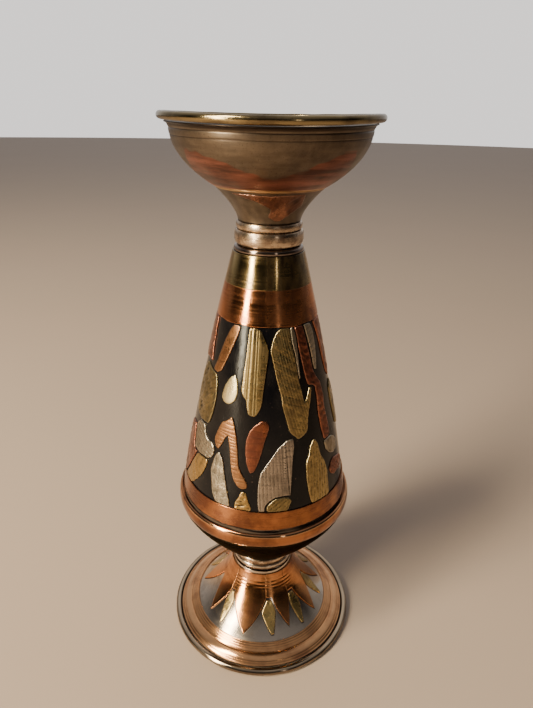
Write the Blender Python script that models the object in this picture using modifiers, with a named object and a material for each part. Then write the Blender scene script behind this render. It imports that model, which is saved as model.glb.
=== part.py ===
"""A candlestick of brass, copper and nickel silver, about 25 cm tall.

From the table up: a trumpet foot with a rolled rim, two turned collars, a dished lower bowl, a girdle
ring, a tall black cone carrying cut sheet-metal shapes, two neck rings, and a drip cup that holds the
candle socket.  A rod through the middle pulls the sections together.

Sections and outlines are written in millimetres.  The object stands on z = 0 with the rod on the Z axis.
Angles are in degrees round that axis, 0 at the front (-Y) and growing towards +X.
"""

import bpy
import bmesh
from math import cos, hypot, radians, sin, tau
from mathutils import Vector

MM = 0.001                      # one millimetre in metres
GAP = 0.3                       # clearance left between two pieces that touch, mm

# ---- driving dimensions, mm ----
HEIGHT = 250.0
FOOT_RADIUS = 47.6
FOOT_RIM_BAND = 3.1             # width of the rolled rim round the foot
GIRDLE_RADIUS = 42.0
RIM_RADIUS = 43.0
RIM_WIRE_RADIUS = 1.5
CANDLE_BORE_RADIUS = 11.2       # takes a 22 mm candle
CANDLE_SEAT_Z = 216.6
SOCKET_TOP_Z = 240.0
ROD_RADIUS = 3.0
ROD_TOP_Z = 214.9
ROD_BOTTOM_Z = 12.0
ROD_HOLE = ROD_RADIUS + GAP

# ---- heights of the joints between sections, mm ----
FOOT_TOP_Z = 35.6
BOWL_BOTTOM_Z = 42.0
BOWL_TOP_Z = 75.9
CONE_BOTTOM_Z = 80.1
BASE_BAND_Z = (84.6, 93.0)
COPPER_BAND_Z = (172.0, 186.3)
BRASS_BAND_Z = (186.6, 199.0)
CONE_TOP_Z = 199.0
STEM_BOTTOM_Z = 211.3
STEM_TOP_Z = 224.6
CUP_BOTTOM_Z = 224.9
CUP_TOP_Z = 246.8

# ---- sheet layers: how far each surface lies outside the named profile, mm ----
GROUND_OUTER = -0.4
APPLIED_INNER = GROUND_OUTER + GAP
APPLIED_THICKNESS = 0.5
SHELL_THICKNESS = 1.0
CUP_THICKNESS = 1.0

# ---- facets ----
LARGE_SEGMENTS = 40
SMALL_SEGMENTS = 28
ROD_SEGMENTS = 16
COLUMN = 360 / LARGE_SEGMENTS   # applied sheets bend on the same lines as the shells under them
CONE_ROWS = (93.0, 105.0, 125.0, 145.0, 160.0)
FOOT_ROWS = (17.4, 20.6, 25.0, 30.0)
STEM_ROWS = (214.5, 219.0)

METALS = {                      # colour, metallic, roughness
    "brass": ((0.50, 0.37, 0.17), 1.0, 0.35),
    "dark_brass": ((0.27, 0.19, 0.11), 1.0, 0.45),
    "copper": ((0.62, 0.30, 0.17), 1.0, 0.35),
    "nickel": ((0.58, 0.55, 0.48), 1.0, 0.35),
    "black": ((0.02, 0.02, 0.025), 0.0, 0.2),
    "steel": ((0.35, 0.35, 0.36), 1.0, 0.4),
}


# ---------------------------------------------------------------- profiles

def cone_profile(z):
    """Cone: slightly swollen, almost upright where it meets the girdle."""
    base_radius, top_radius, swell = 39.9, 14.9, 1.23
    climb = max(z - CONE_BOTTOM_Z, 0.0) / (CONE_TOP_Z - CONE_BOTTOM_Z)
    return base_radius - (base_radius - top_radius) * climb ** swell, z


def foot_profile(r):
    """Foot: a trumpet flare, one quarter of a superellipse."""
    centre_r, centre_z, reach, rise, power = 48.0, 36.0, 32.5, 34.0, 1.5
    across = min(abs(centre_r - r) / reach, 1.0) ** power
    return r, centre_z - rise * (1.0 - across) ** (1.0 / power)


def bowl_profile(z):
    """Lower bowl: a shallow dish turned up to the girdle."""
    top_radius, bottom_radius, curve = 41.1, 14.4, 1.25
    drop = max(BOWL_TOP_Z - z, 0.0) / (BOWL_TOP_Z - BOWL_BOTTOM_Z)
    return top_radius - (top_radius - bottom_radius) * drop ** curve, z


def stem_profile(z):
    """Cup stem: a narrow neck that flares out under the cup."""
    neck_radius, top_radius, flare = 12.8, 22.3, 1.5
    climb = max(z - STEM_BOTTOM_Z, 0.0) / (STEM_TOP_Z - STEM_BOTTOM_Z)
    return neck_radius + (top_radius - neck_radius) * climb ** flare, z


def cup_profile(z):
    """Drip cup: rounded bowl, nearly upright under its rim."""
    top_radius, bottom_radius, curve = 38.9, 22.8, 2.2
    drop = max(CUP_TOP_Z - z, 0.0) / (CUP_TOP_Z - CUP_BOTTOM_Z)
    return top_radius - (top_radius - bottom_radius) * drop ** curve, z


def lifted(profile, place, lift):
    """Point of a profile moved out along its normal; place is a height, or a radius on the foot."""
    step = 0.05
    r, z = profile(place)
    r_before, z_before = profile(place - step)
    r_after, z_after = profile(place + step)
    run, rise = r_after - r_before, z_after - z_before
    if profile is foot_profile:
        run, rise = -run, -rise
    length = hypot(run, rise)
    return r + lift * rise / length, z - lift * run / length


def sheet_section(profile, places, inner, thickness):
    """Closed section of a sheet that follows a profile: outer side down, inner side up."""
    outer = [lifted(profile, place, inner + thickness) for place in places]
    inside = [lifted(profile, place, inner) for place in reversed(places)]
    return outer + inside


def spread(first, last, count):
    """Evenly spaced values from first to last."""
    return [first + (last - first) * i / (count - 1) for i in range(count)]


# ---------------------------------------------------------------- building

def make_material(name, metal):
    colour, metallic, roughness = METALS[metal]
    material = bpy.data.materials.new(name + "_finish")
    material.use_nodes = True
    shader = material.node_tree.nodes["Principled BSDF"]
    shader.inputs["Base Color"].default_value = (*colour, 1.0)
    shader.inputs["Metallic"].default_value = metallic
    shader.inputs["Roughness"].default_value = roughness
    material.diffuse_color = (*colour, 1.0)
    return material


def add_object(name, mesh, metal, parts):
    mesh.materials.append(make_material(name, metal))
    obj = bpy.data.objects.new(name, mesh)
    parts.objects.link(obj)
    return obj


def lathe(name, section, metal, parts, segments=LARGE_SEGMENTS):
    """Turn a section (radius, height) about Z.  A section that ends on the axis stays open there."""
    mesh = bpy.data.meshes.new(name)
    points = [(r * MM, 0.0, z * MM) for r, z in section]
    edges = [(i, i + 1) for i in range(len(points) - 1)]
    if section[0][0] > 0.0:
        edges.append((len(points) - 1, 0))
    mesh.from_pydata(points, edges, [])
    obj = add_object(name, mesh, metal, parts)
    turn = obj.modifiers.new("turn", "SCREW")
    turn.axis = "Z"
    turn.angle = tau
    turn.steps = segments
    turn.render_steps = segments
    turn.use_merge_vertices = True
    turn.merge_threshold = 0.00001
    turn.use_smooth_shade = True
    return obj


def on_surface(profile, angle, place, lift):
    """Point in metres on a turned surface, at an angle and a height (a radius on the foot)."""
    r, z = lifted(profile, place, lift)
    turn = radians(angle)
    return Vector((r * sin(turn), -r * cos(turn), z)) * MM


def solidify_outward(obj):
    sheet = obj.modifiers.new("sheet", "SOLIDIFY")
    sheet.thickness = APPLIED_THICKNESS * MM
    sheet.offset = 1.0
    sheet.use_even_offset = True


def face_outward(bm, profile):
    """Turn every face of a wrapped sheet to look away from the object's axis, or up on the foot."""
    bm.normal_update()
    for face in bm.faces:
        centre = face.calc_center_median()
        away = Vector((centre.x, centre.y, 0.0)).normalized()
        if profile is foot_profile:
            away.z = 1.0
        if face.normal.dot(away) < 0.0:
            face.normal_flip()


def applied_sheet(name, outline, profile, rows, metal, parts):
    """A flat cut shape bent onto a turned surface: outline points are (angle, place)."""
    bm = bmesh.new()
    bm.faces.new([bm.verts.new((angle, place, 0.0)) for angle, place in outline])
    angles = [point[0] for point in outline]
    column = COLUMN * (min(angles) // COLUMN + 1)
    cuts = []
    while column < max(angles):
        cuts.append(((column, 0.0, 0.0), (1.0, 0.0, 0.0)))
        column += COLUMN
    cuts += [((0.0, row, 0.0), (0.0, 1.0, 0.0)) for row in rows]
    for point, normal in cuts:
        everything = bm.verts[:] + bm.edges[:] + bm.faces[:]
        bmesh.ops.bisect_plane(bm, geom=everything, dist=0.001, plane_co=point, plane_no=normal)
    for vert in bm.verts:
        vert.co = on_surface(profile, vert.co.x, vert.co.y, APPLIED_INNER)
    face_outward(bm, profile)
    mesh = bpy.data.meshes.new(name)
    bm.to_mesh(mesh)
    bm.free()
    obj = add_object(name, mesh, metal, parts)
    solidify_outward(obj)
    return obj


# ---------------------------------------------------------------- foot

def build_foot(parts):
    """Foot sheet with its copper skirt and rolled rim."""
    sheet_edge = FOOT_RADIUS - FOOT_RIM_BAND - GAP
    skirt = [34.9, 39.0, sheet_edge]
    ground = [15.55, *FOOT_ROWS, *skirt]
    lathe("foot_sheet", sheet_section(foot_profile, ground, GROUND_OUTER - 0.8, 0.8), "nickel", parts)
    lathe("foot_copper_skirt", sheet_section(foot_profile, skirt, APPLIED_INNER, APPLIED_THICKNESS),
          "copper", parts)
    inner = FOOT_RADIUS - FOOT_RIM_BAND
    rim = [(inner + 0.4, 3.3), (inner + 1.8, 3.1), (FOOT_RADIUS - 0.3, 2.2), (FOOT_RADIUS, 1.2),
           (FOOT_RADIUS - 0.6, 0.0), (inner + 0.5, 0.0), (inner, 0.6), (inner, 2.8)]
    lathe("foot_rolled_rim", rim, "dark_brass", parts)


ROSETTE_PETALS = (              # tip angle, tip radius, width at the root left and right of the tip in degrees
    (-57.0, 32.0, 20.0, 12.0), (-16.0, 32.8, 29.0, 26.0), (28.0, 31.0, 16.0, 14.0),
    (61.5, 32.4, 15.0, 22.0), (103.0, 32.6, 20.0, 20.0), (143.0, 31.4, 20.0, 20.0),
    (184.0, 32.8, 22.0, 22.0), (225.0, 31.2, 19.0, 19.0), (264.0, 32.4, 20.0, 19.0),
)
BRASS_PETALS = (                # left shoulder, right shoulder and tip of each brass petal in degrees
    (-47.4, -36.8, -40.2), (0.9, 17.1, 10.8), (38.3, 50.8, 42.2), (76.0, 90.0, 82.0),
    (116.0, 130.0, 124.0), (156.0, 170.0, 162.0), (199.0, 213.0, 205.0), (237.0, 251.0, 245.0),
)
ROSETTE_ROOT = 19.2             # radius where neighbouring points meet
ROSETTE_CURVE = 0.95


def rosette_edge(angle):
    """Radius of the rosette's pointed outer edge at an angle."""
    edge = ROSETTE_ROOT
    for tip, reach, left, right in ROSETTE_PETALS:
        turn = (angle - tip + 180.0) % 360.0 - 180.0
        away = turn / right if turn > 0.0 else -turn / left
        if away < 1.0:
            edge = max(edge, reach - (reach - ROSETTE_ROOT) * away ** ROSETTE_CURVE)
    return edge


def petal_width(petal, r):
    """Share of its root width that a rosette point still has at a radius."""
    reach = petal[1]
    return (max(reach - r, 0.0) / (reach - ROSETTE_ROOT)) ** (1.0 / ROSETTE_CURVE)


def build_rosette(parts):
    """Copper star laid on the upper foot, its points reaching out over the nickel."""
    inner_radius, rows, columns = 15.8, 4, 120
    bm = bmesh.new()
    grid = []
    for c in range(columns):
        angle = 360.0 * c / columns
        places = spread(inner_radius, rosette_edge(angle), rows)
        grid.append([bm.verts.new(on_surface(foot_profile, angle, r, APPLIED_INNER + 0.1)) for r in places])
    for c in range(columns):
        here, there = grid[c], grid[(c + 1) % columns]
        for k in range(rows - 1):
            bm.faces.new((here[k], there[k], there[k + 1], here[k + 1]))
    face_outward(bm, foot_profile)
    mesh = bpy.data.meshes.new("foot_copper_rosette")
    bm.to_mesh(mesh)
    bm.free()
    solidify_outward(add_object("foot_copper_rosette", mesh, "copper", parts))


def build_brass_petals(parts):
    """Brass petals that fill the valleys between the rosette's points; one valley at the back is bare."""
    side_gap, shoulder, tip_radius, tip_width = 1.5, 25.0, 32.2, 2.2
    for i, (left_end, right_end, tip) in enumerate(BRASS_PETALS):
        left, right = ROSETTE_PETALS[i], ROSETTE_PETALS[i + 1]
        left_side, right_side = [], []
        for r in (21.4, 22.6, 23.8):
            start = left[0] + left[3] * petal_width(left, r) + side_gap
            end = right[0] - right[2] * petal_width(right, r) - side_gap
            left_side.append((max(start, left_end), r))
            right_side.append((min(end, right_end), r))
        outline = left_side + [(left_end, shoulder), (tip - tip_width / 2, tip_radius),
                               (tip + tip_width / 2, tip_radius), (right_end, shoulder)]
        outline += reversed(right_side)
        applied_sheet(f"foot_brass_petal_{i + 1}", outline, foot_profile, FOOT_ROWS, "brass", parts)


# ---------------------------------------------------------------- lower half

def turned_ring(name, bottom, top, widest, metal, parts):
    """Small turned collar with a rounded outside, bored for the rod."""
    height = top - bottom
    section = [(widest - 0.9, top), (widest - 0.1, top - 0.3 * height), (widest, top - 0.6 * height),
               (widest - 0.7, bottom), (ROD_HOLE, bottom), (ROD_HOLE, top)]
    lathe(name, section, metal, parts, SMALL_SEGMENTS)


def build_lower_bowl(parts):
    places = [BOWL_TOP_Z, 72.5, 67.0, 58.0, 49.0, BOWL_BOTTOM_Z]
    outer = [bowl_profile(z) for z in places]
    floor = [(ROD_HOLE, BOWL_BOTTOM_Z), (ROD_HOLE, BOWL_BOTTOM_Z + 1.2), (14.6, BOWL_BOTTOM_Z + 1.2)]
    inside = [lifted(bowl_profile, z, -1.1) for z in reversed(places[1:-1])]
    rim = [(bowl_profile(BOWL_TOP_Z)[0] - 1.2, BOWL_TOP_Z)]
    lathe("lower_bowl", outer + floor + inside + rim, "dark_brass", parts)


def build_girdle(parts):
    """Ring round the widest place, with an inner ledge that carries the cone."""
    wall_inside = GIRDLE_RADIUS - 1.35
    section = [(GIRDLE_RADIUS - 0.7, 83.0), (GIRDLE_RADIUS - 0.1, 82.0), (GIRDLE_RADIUS, 79.4),
               (GIRDLE_RADIUS - 0.3, 77.4), (GIRDLE_RADIUS - 1.0, 76.2), (39.7, 76.2), (39.7, 78.6),
               (37.2, 78.6), (37.2, 79.8), (wall_inside, 79.8), (wall_inside, 82.7)]
    lathe("girdle_ring", section, "copper", parts)


# ---------------------------------------------------------------- cone

def build_cone(parts):
    shell_places = [CONE_TOP_Z, 186.0, 165.0, 140.0, 112.0, CONE_BOTTOM_Z]
    inner = GROUND_OUTER - SHELL_THICKNESS
    lathe("cone_shell", sheet_section(cone_profile, shell_places, inner, SHELL_THICKNESS), "black", parts)
    for name, (low, high), metal in (("cone_base_band", BASE_BAND_Z, "copper"),
                                     ("cone_copper_band", COPPER_BAND_Z, "copper"),
                                     ("cone_brass_band", BRASS_BAND_Z, "brass")):
        section = sheet_section(cone_profile, [high, low], APPLIED_INNER, APPLIED_THICKNESS)
        lathe(name, section, metal, parts)
    cap = [(13.4, 201.4), (14.5, 200.0), (14.5, CONE_TOP_Z + GAP), (ROD_HOLE, CONE_TOP_Z + GAP),
           (ROD_HOLE, 201.4)]
    lathe("cone_cap", cap, "steel", parts, SMALL_SEGMENTS)


# Sheet shapes applied to the cone: name, metal, and the outline as (angle, height) points.
CONE_SHAPES = (
    ("copper_wedge_left", "copper", (
        (-96, 171.6), (-69, 171.6), (-67.5, 165), (-65, 158), (-61.5, 153), (-71, 153.4), (-80, 152.4),
        (-90, 157), (-95, 163))),
    ("copper_strip_left", "copper", (
        (-38, 171.6), (-28.5, 171.6), (-31, 168), (-36, 162), (-41, 156), (-45.5, 151.2), (-50, 149.8),
        (-56.5, 150.4), (-53, 155), (-50, 160), (-46.5, 165), (-42, 169.5))),
    ("olive_patch_left", "brass", (
        (-58, 149.6), (-50, 148.9), (-46.8, 145), (-46, 139), (-47.5, 131), (-50.5, 126.4), (-62, 126),
        (-74, 128), (-79, 137), (-77, 147), (-70, 151.6))),
    ("brass_tongue_centre", "brass", (
        (-18.8, 171.3), (-12, 171.6), (-6.5, 171), (-2.6, 168), (0.4, 165.2), (2.2, 162.6), (1, 158),
        (-0.5, 152), (-2, 146.5), (-3, 141), (-5, 138), (-8, 135.8), (-13, 135.8), (-15, 138),
        (-16.2, 142.3), (-19, 143.4), (-21.2, 145.5), (-20.8, 153), (-19.6, 160))),
    ("brass_tongue_right", "brass", (
        (3.8, 162.9), (6, 167), (9.5, 170), (14, 171.6), (24.6, 171.6), (25.4, 165.2), (28, 159.8),
        (30.2, 150), (32.6, 144.4), (34, 139.8), (36.6, 141), (40.8, 145.5), (43.6, 145.3), (41, 140.5),
        (37.6, 135.5), (36, 131.5), (34.8, 127.2), (30, 125.6), (26.2, 124.8), (22, 127), (19.2, 128.6),
        (16.5, 135), (14, 140), (13.2, 144.5), (10, 150), (6.5, 158))),
    ("nickel_sliver", "nickel", (
        (25.7, 171.6), (29, 171.6), (31.4, 168), (31.9, 161), (32, 150), (31.1, 150.4), (29, 160.2),
        (26.4, 165.5))),
    ("copper_chain", "copper", (
        (30.2, 171.6), (41.5, 171.6), (43.5, 167), (45.8, 160), (48.2, 152), (52, 148.5), (56, 146),
        (58.5, 140), (57.5, 134), (59.5, 128), (60.5, 121), (58, 119.8), (51.8, 119.8), (49.6, 126),
        (48.4, 133), (49.4, 140), (48.4, 144.8), (44.8, 146.3), (40, 146.5), (37.6, 151), (36, 156),
        (33.6, 163), (32.7, 168))),
    ("nickel_strip_right", "nickel", (
        (43.6, 171.6), (54, 171.6), (57, 168), (57.4, 162), (55.4, 156), (53.4, 151.5), (50.4, 152.2),
        (49.6, 157), (47.8, 163), (45.8, 168))),
    ("copper_edge_right", "copper", (
        (61, 171.6), (84, 171.6), (86, 160), (83, 150), (78, 144.4), (73, 147), (69.5, 155),
        (68, 163))),
    ("silver_leaf", "nickel", (
        (-28.4, 152), (-25.6, 149), (-24.2, 144.4), (-26.2, 141), (-31, 138.6), (-37, 139.2),
        (-40, 141.2), (-38.2, 146), (-34, 150))),
    ("copper_chevron", "copper", (
        (-27.2, 133.8), (-24.4, 131), (-22, 126), (-20.2, 121), (-18.4, 113), (-15, 109.2), (-12, 106.6),
        (-11.2, 104), (-14, 102.9), (-18, 103.6), (-22, 107), (-24.4, 112.5), (-26.4, 120),
        (-29.2, 125.6), (-32, 122.8), (-35, 119), (-36.6, 117.8), (-39, 119), (-41.2, 121.8),
        (-38.8, 126.5), (-35.6, 130.6), (-32.4, 131.4))),
    ("nickel_spotted_shape", "nickel", (
        (-35, 116.8), (-31.2, 114), (-28.4, 107.5), (-26, 101.5), (-22.6, 93.4), (-34, 93.4),
        (-37.4, 97), (-39, 102), (-41, 107.5), (-39.2, 112.5), (-37.4, 115.6))),
    ("brass_ring_piece", "brass", (
        (-15.6, 101.8), (-12, 101.8), (-10.2, 97.6), (-8.4, 95.4), (-8.2, 93.4), (-19.4, 93.4),
        (-19.2, 96.4), (-17, 99))),
    ("copper_leaf", "copper", (
        (-2, 134.2), (1.8, 133.6), (3.6, 131.8), (2, 128.6), (0, 125.4), (-2, 120.5), (-4.2, 116),
        (-7, 111.6), (-10, 110.8), (-12.8, 115), (-14.2, 120.5), (-14, 125.5), (-11.8, 129.2),
        (-8.6, 131.6))),
    ("nickel_blade", "nickel", (
        (21.8, 125.6), (17, 125.2), (10.2, 122.3), (5, 118), (0.4, 114), (-2.8, 110.6), (-4, 105),
        (-4, 98), (-3.2, 93.4), (0.8, 93.4), (0.8, 95.8), (3, 98), (7.8, 100.1), (13.6, 100.5),
        (18.2, 100.3), (19.4, 108), (20.6, 116), (22.4, 122.4))),
    ("brass_blade_foot", "brass", (
        (2, 93.4), (16.6, 93.4), (17.4, 95.4), (19, 97.4), (17.4, 99.4), (13.8, 99.7), (8.2, 99.3),
        (3.6, 97.3), (2, 95.4))),
    ("brass_ribbed_right", "brass", (
        (40.4, 123), (43.8, 120), (45.4, 114.2), (49.2, 110.4), (51.2, 105.4), (51, 93.4), (34.2, 93.4),
        (32.2, 99), (31.2, 106), (31.4, 113), (34.4, 116), (36.2, 120))),
    ("nickel_end_right", "nickel", (
        (51.6, 119), (61, 119), (66, 117.6), (70.5, 114.6), (68, 110.6), (62, 110.2), (57, 111.8),
        (52.7, 114.6))),
    ("copper_scrap_right", "copper", (
        (54.4, 104), (57.6, 106.9), (62.5, 107.6), (69, 106.4), (76, 104.6), (80, 101), (72, 99.4),
        (65, 99.8), (59.5, 100), (55.8, 101.4))),
    ("brass_wedge_right", "brass", (
        (73, 140), (80, 142.4), (88, 136), (91, 126), (84, 118.6), (77, 120.6), (74, 130))),
    ("nickel_ribbed_left", "nickel", (
        (-62, 125.4), (-54, 125), (-51.6, 121), (-48, 119.4), (-43, 119.2), (-39.8, 117.4),
        (-40.2, 114.6), (-41.8, 112.4), (-46, 111.3), (-56, 110.9), (-64, 111.5), (-66, 117),
        (-68, 122))),
    ("copper_edge_left", "copper", (
        (-66, 110.4), (-60.6, 109.8), (-65.6, 104), (-70.4, 99), (-76, 94), (-90, 94), (-94, 104),
        (-90, 114), (-82, 120), (-70.4, 121), (-68.4, 116.5))),
    ("brass_lower_left", "brass", (
        (-58, 110), (-45, 110.4), (-46.4, 106.5), (-50, 101.5), (-55, 97.4), (-61, 93.6), (-74, 93.4),
        (-68, 99), (-63, 105))),
    ("copper_strip_back", "copper", (
        (104, 171.6), (116, 171.6), (122, 163), (129, 152), (136, 141), (139, 130), (134, 127),
        (128, 138), (120, 149), (111, 160))),
    ("nickel_blade_back", "nickel", (
        (106, 126), (114, 124), (120, 116), (124, 105), (124, 93.4), (103, 93.4), (101, 102),
        (101, 114))),
    ("brass_tongue_back", "brass", (
        (152, 171.6), (180, 171.6), (178, 160), (174, 147), (171, 134), (165, 127), (160, 133),
        (159, 146), (155, 160))),
    ("copper_leaf_back", "copper", (
        (146, 121), (154, 117), (160, 107), (161, 93.4), (140, 93.4), (138, 103), (141, 114))),
    ("nickel_leaf_back", "nickel", (
        (200, 158), (207, 152), (211, 140), (209, 126), (202, 116), (195, 124), (192, 138),
        (194, 151))),
    ("brass_wedge_back", "brass", (
        (214, 112), (232, 115), (246, 108), (252, 93.4), (206, 93.4), (209, 104))),
)


def build_cone_shapes(parts):
    for name, metal, outline in CONE_SHAPES:
        applied_sheet(name, outline, cone_profile, CONE_ROWS, metal, parts)


# ---------------------------------------------------------------- cup

def build_cup(parts):
    """Cup sheet, turned out at the top into a narrow flange that carries the rolled wire."""
    places = [244.6, 241.0, 237.5, 234.0, 230.0, CUP_BOTTOM_Z]
    flange_radius, flange_thickness = RIM_RADIUS - RIM_WIRE_RADIUS, 0.7
    flange = [(flange_radius, CUP_TOP_Z), (flange_radius, CUP_TOP_Z - flange_thickness),
              (39.7, CUP_TOP_Z - flange_thickness - 0.4)]
    wall = sheet_section(cup_profile, places, -CUP_THICKNESS, CUP_THICKNESS)
    lathe("drip_cup", flange + wall + [(38.4, CUP_TOP_Z)], "dark_brass", parts)
    centre_r, centre_z, sides = RIM_RADIUS - RIM_WIRE_RADIUS, HEIGHT - RIM_WIRE_RADIUS, 8
    wire = [(centre_r + RIM_WIRE_RADIUS * sin(tau * i / sides), centre_z + RIM_WIRE_RADIUS * cos(tau * i / sides))
            for i in range(sides)]
    lathe("cup_rim_wire", wire, "brass", parts)


def build_stem(parts):
    places = [STEM_TOP_Z, *reversed(STEM_ROWS), STEM_BOTTOM_Z]
    outer = [lifted(stem_profile, z, GROUND_OUTER) for z in places]
    outer[-1] = (outer[-1][0], STEM_BOTTOM_Z)
    floor = [(ROD_HOLE, STEM_BOTTOM_Z), (ROD_HOLE, 212.3)]
    inside = [(12.0, 212.3)] + [lifted(stem_profile, z, GROUND_OUTER - 0.6) for z in [*STEM_ROWS, STEM_TOP_Z]]
    lathe("cup_stem", outer + floor + inside, "dark_brass", parts, LARGE_SEGMENTS)
    leaf = [(-46, 223.6), (-6, 223.2), (40, 223.6), (48, 218.6), (32, 215.2), (18, 212.6), (8, 212.9),
            (-2, 214.4), (2, 217.6), (-14, 220.4)]
    applied_sheet("stem_copper_leaf", leaf, stem_profile, STEM_ROWS, "copper", parts)


def build_candle_socket(parts):
    """Straight tube with a turned-out lip and a thick floor threaded for the rod."""
    outside = CANDLE_BORE_RADIUS + 0.5
    bottom = CANDLE_SEAT_Z - 4.0
    section = [(0.0, CANDLE_SEAT_Z), (CANDLE_BORE_RADIUS, CANDLE_SEAT_Z),
               (CANDLE_BORE_RADIUS, SOCKET_TOP_Z - 1.2), (CANDLE_BORE_RADIUS + 1.2, SOCKET_TOP_Z),
               (outside + 1.6, SOCKET_TOP_Z), (outside + 1.6, SOCKET_TOP_Z - 0.6),
               (outside, SOCKET_TOP_Z - 2.0), (outside, bottom), (ROD_HOLE, bottom),
               (ROD_HOLE, ROD_TOP_Z + GAP), (0.0, ROD_TOP_Z + GAP)]
    lathe("candle_socket", section, "brass", parts, SMALL_SEGMENTS)


# ---------------------------------------------------------------- inner hardware

def build_rod_and_fixings(parts, cutters):
    rod = [(0.0, ROD_TOP_Z), (ROD_RADIUS, ROD_TOP_Z), (ROD_RADIUS, ROD_BOTTOM_Z), (0.0, ROD_BOTTOM_Z)]
    lathe("tie_rod", rod, "steel", parts, ROD_SEGMENTS)
    plate_top, plate_bottom, plate_radius = 23.2, 21.6, 18.4
    plate = [(plate_radius, plate_top), (plate_radius, plate_bottom), (ROD_HOLE, plate_bottom),
             (ROD_HOLE, plate_top)]
    lathe("base_plate", plate, "steel", parts, SMALL_SEGMENTS)
    build_nut(plate_bottom - GAP, parts, cutters)


def build_nut(top, parts, cutters):
    """Hexagonal nut, 10 mm across its flats, under the base plate."""
    nut_height, across_corners = 5.0, 11.55
    middle = (0.0, 0.0, (top - nut_height / 2) * MM)
    bpy.ops.mesh.primitive_cylinder_add(vertices=6, radius=across_corners / 2 * MM,
                                        depth=nut_height * MM, location=middle)
    nut = bpy.context.object
    nut.name = "base_nut"
    nut.data.materials.append(make_material("base_nut", "steel"))
    bpy.ops.mesh.primitive_cylinder_add(vertices=ROD_SEGMENTS, radius=ROD_HOLE * MM,
                                        depth=3 * nut_height * MM, location=middle)
    hole = bpy.context.object
    hole.name = "base_nut_hole"
    hole.hide_render = True
    hole.display_type = "WIRE"
    for obj, home in ((nut, parts), (hole, cutters)):
        for collection in obj.users_collection:
            collection.objects.unlink(obj)
        home.objects.link(obj)
    cut = nut.modifiers.new("bore", "BOOLEAN")
    cut.operation = "DIFFERENCE"
    cut.solver = "EXACT"
    cut.object = hole


# ---------------------------------------------------------------- assembly

def main():
    for obj in list(bpy.data.objects):
        bpy.data.objects.remove(obj, do_unlink=True)
    parts = bpy.data.collections.new("mixed_metal_candlestick")
    cutters = bpy.data.collections.new("candlestick_cutters")
    bpy.context.scene.collection.children.link(parts)
    bpy.context.scene.collection.children.link(cutters)

    build_foot(parts)
    build_rosette(parts)
    build_brass_petals(parts)
    turned_ring("lower_collar", FOOT_TOP_Z + GAP, 38.6, 15.3, "nickel", parts)
    turned_ring("lower_collar_step", 38.9, BOWL_BOTTOM_Z - GAP, 14.9, "brass", parts)
    build_lower_bowl(parts)
    build_girdle(parts)
    build_cone(parts)
    build_cone_shapes(parts)
    turned_ring("neck_bead", 201.7, 207.7, 14.3, "brass", parts)
    turned_ring("neck_ring", 208.0, STEM_BOTTOM_Z - GAP, 13.6, "brass", parts)
    build_stem(parts)
    build_cup(parts)
    build_candle_socket(parts)
    build_rod_and_fixings(parts, cutters)


main()
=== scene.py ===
import bmesh
import bpy
import numpy as np
from math import cos, pi, radians, sin, tau
from mathutils import Matrix, Vector
from mathutils.geometry import delaunay_2d_cdt


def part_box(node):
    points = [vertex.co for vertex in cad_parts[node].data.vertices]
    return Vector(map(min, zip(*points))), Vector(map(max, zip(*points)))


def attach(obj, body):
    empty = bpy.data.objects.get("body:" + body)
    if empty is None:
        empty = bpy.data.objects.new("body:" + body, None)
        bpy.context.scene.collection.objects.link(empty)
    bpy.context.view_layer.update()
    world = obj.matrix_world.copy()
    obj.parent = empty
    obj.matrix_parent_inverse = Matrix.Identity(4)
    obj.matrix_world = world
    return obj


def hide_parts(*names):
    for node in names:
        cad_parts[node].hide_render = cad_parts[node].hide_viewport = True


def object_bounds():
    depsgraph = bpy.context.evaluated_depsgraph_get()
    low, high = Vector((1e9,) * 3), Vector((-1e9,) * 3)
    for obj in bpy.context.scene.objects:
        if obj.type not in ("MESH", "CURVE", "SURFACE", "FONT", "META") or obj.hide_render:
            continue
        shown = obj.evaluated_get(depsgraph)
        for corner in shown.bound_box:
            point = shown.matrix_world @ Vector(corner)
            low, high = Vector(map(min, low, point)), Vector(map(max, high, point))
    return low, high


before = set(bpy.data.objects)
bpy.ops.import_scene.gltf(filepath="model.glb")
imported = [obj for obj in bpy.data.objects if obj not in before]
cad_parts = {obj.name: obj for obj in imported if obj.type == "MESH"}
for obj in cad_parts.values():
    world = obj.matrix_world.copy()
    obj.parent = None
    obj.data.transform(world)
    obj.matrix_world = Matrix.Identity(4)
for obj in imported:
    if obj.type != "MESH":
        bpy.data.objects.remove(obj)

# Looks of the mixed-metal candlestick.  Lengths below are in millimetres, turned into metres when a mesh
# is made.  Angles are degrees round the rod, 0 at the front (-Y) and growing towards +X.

MM = 0.001
cad_low, cad_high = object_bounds()


def low_z(node):
    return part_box(node)[0][2] / MM


def high_z(node):
    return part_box(node)[1][2] / MM


def radius(node):
    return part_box(node)[1][0] / MM


def unit(value):
    return np.clip(value, 0, 1)


def bell(value, centre, width):
    """1 at the centre, falling smoothly to 0 on both sides of it."""
    return np.exp(-((value - centre) / width) ** 2)


def signed(angle):
    """The same angle, between -180 and 180 degrees."""
    return (angle + 180) % 360 - 180


# ---------------------------------------------------------------- profiles, as in the CAD

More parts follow.
